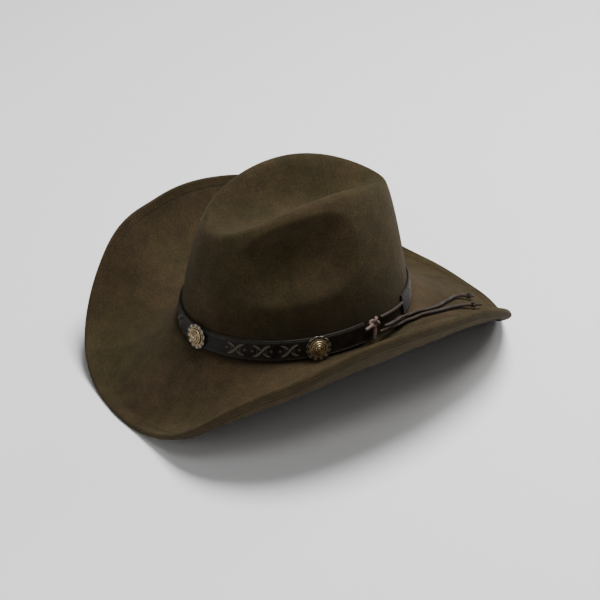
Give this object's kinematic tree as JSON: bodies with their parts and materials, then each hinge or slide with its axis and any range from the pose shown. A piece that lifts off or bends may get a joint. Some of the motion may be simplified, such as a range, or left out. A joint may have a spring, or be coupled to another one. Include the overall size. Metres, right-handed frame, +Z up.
{
  "type": "crushable wool hat",
  "caption": "Crushable wool felt western hat with a pinched crown, curled brim, tooled leather band, conchos and a knotted lace.",
  "frame": {"origin": "On the resting surface, under the middle of the hat's outline", "axes": "+Z up, the front of the hat points to -Y, the wearer's left is +X"},
  "size_m": [0.3312, 0.3708, 0.179],
  "materials": {
    "felt": "dull mottled wool felt",
    "band_leather": "satin, tooled",
    "antique_silver": "antiqued",
    "antique_brass": "antiqued",
    "lace_leather": "satin"
  },
  "bodies": {
    "root": {"felt_body": "felt", "hat_band": "band_leather", "concho_rim_1": "antique_silver", "concho_centre_1": "antique_brass", "concho_rim_2": "antique_silver", "concho_centre_2": "antique_brass", "concho_rim_3": "antique_silver", "concho_centre_3": "antique_brass", "concho_rim_4": "antique_silver", "concho_centre_4": "antique_brass", "tie_knot": "lace_leather", "lace_link": "lace_leather", "lace_tail_upper": "lace_leather", "lace_end_knot_upper": "lace_leather", "lace_tail_lower": "lace_leather", "lace_end_knot_lower": "lace_leather"}
  },
  "joints": []
}
